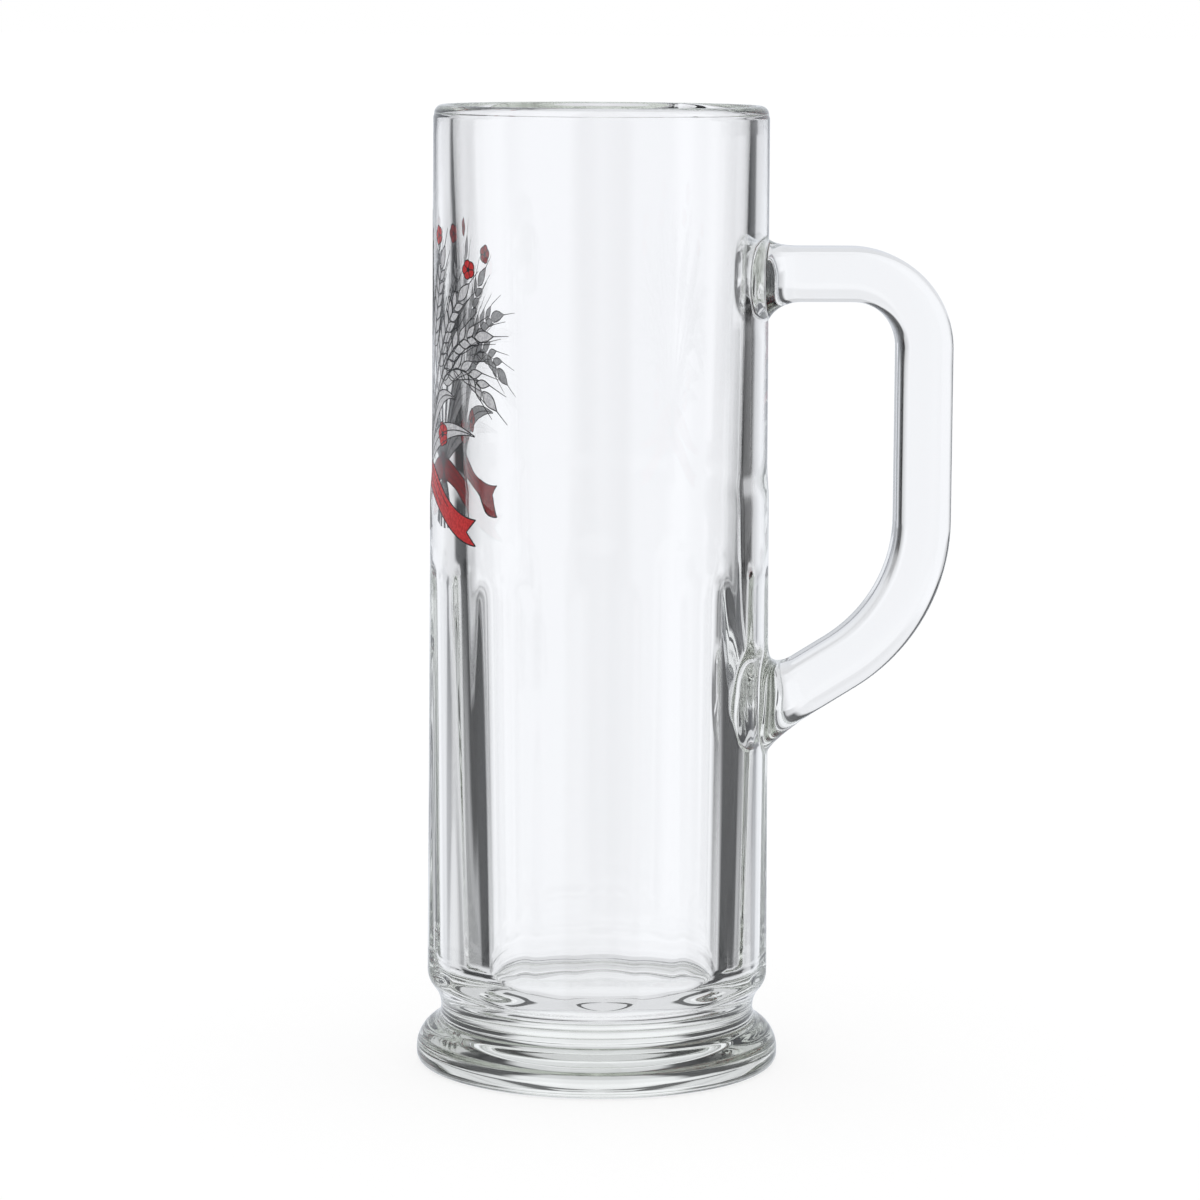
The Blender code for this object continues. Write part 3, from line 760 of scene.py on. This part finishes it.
def draw_ribbon(inks):
    """A ribbon whose tails fall to both sides of the knot and end in a notch."""
    places = np.linspace(-1, 1, RIBBON_STEPS)
    shares = np.linspace(-1, 1, lane_count(RIBBON_WIDTH))
    across = RIBBON_REACH - RIBBON_NOTCH * (1 - np.abs(shares))
    round_wall = places[:, None] * across[None, :]
    height = TIE_Z - ribbon_fall(places)[:, None] + RIBBON_WIDTH / 2 * shares[None, :]
    grid = np.stack([round_wall, height], 2)
    inks["red"].patch(grid)
    for lane in (0, -1):
        inks["black"].strip(grid[:, lane], LINE_WIDTH / 2)
    for row in (0, -1):
        inks["black"].strip(grid[row], LINE_WIDTH / 2)
    for side in (-1, 1):
        for lane, length in RIBBON_FOLDS:
            share = np.linspace(FOLD_START, length, FOLD_STEPS) * side
            fold_z = TIE_Z - ribbon_fall(share) + RIBBON_WIDTH / 2 * lane
            fold = np.column_stack([share * RIBBON_REACH, fold_z])
            inks["black"].strip(fold, FINE_LINE_WIDTH / 2)
    around = np.linspace(0, 2 * math.pi, KNOT_STEPS)
    middle = np.array((0.0, TIE_Z))
    knot = np.column_stack([np.cos(around), np.sin(around)]) * KNOT_SIZE + middle
    inks["red"].disc(knot, middle)
    inks["black"].strip(knot, LINE_WIDTH / 2)


def make_print():
    """The three colours of the print, by name."""
    inks = {name: Enamel(proud) for name, proud in ENAMEL_PROUD.items()}
    for index in range(STALK_COUNT):
        angle = STALK_FAN * (2 * index / (STALK_COUNT - 1) - 1)
        draw_ear(inks, (PRINT_HALF_WIDTH * math.sin(angle), PRINT_HALF_HEIGHT * math.cos(angle)))
    for side in (-1, 1):
        for reach, height in LEAF_ENDS:
            arch, end = (side * reach * LEAF_BEND, height + LEAF_ARCH), (side * reach, height)
            shares, halves = lens(1.0, LEAF_WIDTH, LEAF_STEPS)
            line, _ = bezier((0.0, TIE_Z), arch, end, shares)
            draw_leaf(inks["grey"], inks["black"], line, halves, True)
        for reach, height, radius in POPPIES:
            draw_poppy(inks, (side * reach, height), radius)
    draw_ribbon(inks)
    return {name: ink.to_object("print_" + name) for name, ink in inks.items()}


class Graph:
    """Short ways to add nodes to a material's or the world's tree."""

    def __init__(self, tree):
        self.tree = tree
        tree.nodes.clear()

    def add(self, kind, **settings):
        node = self.tree.nodes.new("ShaderNode" + kind)
        for name, value in settings.items():
            setattr(node, name, value)
        return node

    def fill(self, socket, value):
        """Links a socket to another node's output, or sets it to a plain value."""
        if isinstance(value, bpy.types.NodeSocket):
            self.tree.links.new(value, socket)
        else:
            socket.default_value = value

    def math(self, operation, *values):
        node = self.add("Math", operation=operation)
        for socket, value in zip(node.inputs, values):
            self.fill(socket, value)
        return node.outputs[0]

    def ramp(self, value, low, high, start=0.0, end=1.0):
        """A soft step from start to end as value goes from low to high."""
        node = self.add("MapRange", interpolation_type="SMOOTHSTEP")
        names = ("Value", "From Min", "From Max", "To Min", "To Max")
        for name, given in zip(names, (value, low, high, start, end)):
            self.fill(node.inputs[name], given)
        return node.outputs["Result"]

    def mix(self, share, first, second):
        node = self.add("Mix")
        self.fill(node.inputs["Factor"], share)
        self.fill(node.inputs["A"], first)
        self.fill(node.inputs["B"], second)
        return node.outputs["Result"]

    def mix_colour(self, share, first, second):
        node = self.add("Mix", data_type="RGBA")
        self.fill(node.inputs["Factor"], share)
        self.fill(node.inputs[COLOUR_A], first)
        self.fill(node.inputs[COLOUR_B], second)
        return node.outputs[COLOUR_RESULT]

    def shader(self, kind, **values):
        """A shader with its sockets filled, their names written with _ for a space."""
        node = self.add(kind)
        for name, value in values.items():
            self.fill(node.inputs[name.replace("_", " ")], value)
        return node.outputs[0]

    def mix_shader(self, share, first, second):
        node = self.add("MixShader")
        self.fill(node.inputs[0], share)
        self.fill(node.inputs[1], first)
        self.fill(node.inputs[2], second)
        return node.outputs[0]


def new_material(name):
    material = bpy.data.materials.new(name)
    material.use_nodes = True
    return material, Graph(material.node_tree)


def glass_material():
    material, graph = new_material("clear glass")
    clear = {"Base_Color": WHITE, "Roughness": 0.0, "IOR": GLASS_IOR, "Transmission_Weight": 1.0}
    output = graph.add("OutputMaterial")
    graph.fill(output.inputs["Surface"], graph.shader("BsdfPrincipled", **clear))
    absorption = graph.shader("VolumeAbsorption", Color=GLASS_TINT, Density=GLASS_DENSITY)
    graph.fill(output.inputs["Volume"], absorption)
    return material


def enamel_material(name, pale, deep):
    """Fired enamel with the fine specks that a screen print leaves."""
    material, graph = new_material(name)
    place = graph.add("TexCoord").outputs["Object"]
    specks = graph.add("TexNoise")
    graph.fill(specks.inputs["Vector"], place)
    specks.inputs["Scale"].default_value = SPECK_SCALE
    specks.inputs["Detail"].default_value = SPECK_DETAIL
    colour = graph.mix_colour(graph.ramp(specks.outputs["Fac"], *SPECK_EDGES), pale, deep)
    roughness = graph.ramp(specks.outputs["Fac"], *SHEEN_EDGES, *SHEEN_ROUGHNESS)
    surface = graph.shader("BsdfPrincipled", Base_Color=colour, Roughness=roughness)
    graph.fill(graph.add("OutputMaterial").inputs["Surface"], surface)
    return material


def level_round(graph, turn, stops):
    """A level read off (degrees, level) stops, with turn going from 0 to 1 once round the mug."""
    node = graph.add("ValToRGB")
    elements = node.color_ramp.elements
    elements.remove(elements[1])
    for index, (angle, level) in enumerate(stops):
        place = (angle + 180) / 360
        element = elements[0] if index == 0 else elements.new(place)
        element.position = place
        element.color = (level, level, level, 1.0)
    graph.fill(node.inputs["Fac"], turn)
    return node.outputs["Color"]


def mirrored(right):
    """All stops of a ring, from those of its right half."""
    return tuple((-angle, level) for angle, level in reversed(right)) + right


def make_world():
    """Rings of light and dark that show through the glass, and soft boxes that it reflects."""
    world = bpy.data.worlds.new("studio")
    bpy.context.scene.world = world
    world.use_nodes = True
    graph = Graph(world.node_tree)
    axes = graph.add("SeparateXYZ")
    graph.fill(axes.inputs[0], graph.add("TexCoord").outputs["Generated"])
    azimuth = graph.math("ARCTAN2", axes.outputs["X"], axes.outputs["Y"])
    ahead = math.pi - VIEW_AZIMUTH
    turn = graph.math("FRACT", graph.math("DIVIDE", graph.math("ADD", azimuth, ahead), 2 * math.pi))

    def above(slope, blur=EDGE_BLUR):
        middle = math.sin(slope)
        return graph.ramp(axes.outputs["Z"], middle - blur, middle + blur)

    def ring(stops):
        return level_round(graph, turn, stops)

    backdrop = graph.mix(above(MIDDLE_EDGE, MIDDLE_BLUR), ring(MIDDLE_BACKDROP), ring(UPPER_BACKDROP))
    backdrop = graph.mix(above(LOWER_EDGE, LOWER_BLUR), ring(LOWER_BACKDROP), backdrop)
    table = graph.mix(above(NEAR_EDGE), ring(NEAR_TABLE), ring(FAR_TABLE))
    through = graph.mix(above(FAR_EDGE), table, backdrop)
    through = graph.mix(above(SKY_EDGE), through, ring(SKY))
    through = graph.mix(above(CEILING_EDGE), through, ring(mirrored(CEILING)))
    through = graph.mix(above(UNDER_EDGE, MIDDLE_BLUR), ring(mirrored(UNDER_TABLE)), through)
    path = graph.add("LightPath")
    level = graph.mix(path.outputs["Is Glossy Ray"], AMBIENT, ring(mirrored(SOFT_BOXES)))
    level = graph.mix(path.outputs["Is Transmission Ray"], level, through)
    level = graph.mix(path.outputs["Is Camera Ray"], level, BACKDROP_LEVEL)
    colour = graph.mix_colour(path.outputs["Is Glossy Ray"], WHITE, REFLECTED_TINT)
    colour = graph.mix_colour(path.outputs["Is Transmission Ray"], colour, THROUGH_TINT)
    background = graph.shader("Background", Color=colour, Strength=level)
    graph.fill(graph.add("OutputWorld").inputs["Surface"], background)


def make_floor():
    mesh = bpy.data.meshes.new("floor")
    shape = bmesh.new()
    bmesh.ops.create_circle(shape, cap_ends=True, segments=FLOOR_SIDES, radius=FLOOR_REACH)
    shape.to_mesh(mesh)
    shape.free()
    floor = bpy.data.objects.new("floor", mesh)
    floor.location.z = -FLOOR_GAP
    bpy.context.scene.collection.objects.link(floor)
    material, graph = new_material("white sweep")
    path = graph.add("LightPath")
    paper = graph.shader("BsdfDiffuse", Color=(FLOOR_ALBEDO, FLOOR_ALBEDO, FLOOR_ALBEDO, 1.0))
    glow = graph.shader("Emission", Strength=FLOOR_LEVEL - FLOOR_ALBEDO * AMBIENT)
    both = graph.add("AddShader")
    graph.fill(both.inputs[0], paper)
    graph.fill(both.inputs[1], glow)
    opaque = graph.mix_shader(path.outputs["Is Camera Ray"], paper, both.outputs[0])
    by_glass = graph.math("MAXIMUM", path.outputs["Is Transmission Ray"], path.outputs["Is Glossy Ray"])
    surface = graph.mix_shader(by_glass, opaque, graph.shader("BsdfTransparent"))
    graph.fill(graph.add("OutputMaterial").inputs["Surface"], surface)
    mesh.materials.append(material)


def make_camera():
    data = bpy.data.cameras.new("photo view")
    data.sensor_width = SENSOR
    data.lens = SENSOR * FOCAL_PIXELS / PHOTO_PIXELS
    camera = bpy.data.objects.new("photo view", data)
    place = Vector((-math.sin(VIEW_AZIMUTH), -math.cos(VIEW_AZIMUTH), 0.0)) * CAMERA_DISTANCE
    place.z = CAMERA_HEIGHT
    turn = Matrix.Rotation(-VIEW_AZIMUTH - AIM_RIGHT, 4, "Z")
    turn = turn @ Matrix.Rotation(math.pi / 2 - CAMERA_TILT, 4, "X")
    camera.matrix_world = Matrix.Translation(place) @ turn @ Matrix.Rotation(CAMERA_ROLL, 4, "Z")
    bpy.context.scene.collection.objects.link(camera)
    bpy.context.scene.camera = camera


glass = make_glass()
glass.data.materials.append(glass_material())
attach(glass, "root")
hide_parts("glass_body", "handle")

for ink, piece in make_print().items():
    piece.data.materials.append(enamel_material(ink + " enamel", *ENAMEL_COLOURS[ink]))
    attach(piece, "root")
    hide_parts(PRINT_NODES[ink])

make_world()
make_floor()
make_camera()
scene = bpy.context.scene
scene.view_settings.view_transform = "Standard"
scene.cycles.max_bounces = GLASS_BOUNCES
scene.cycles.transmission_bounces = GLASS_BOUNCES
scene.cycles.glossy_bounces = GLASS_BOUNCES
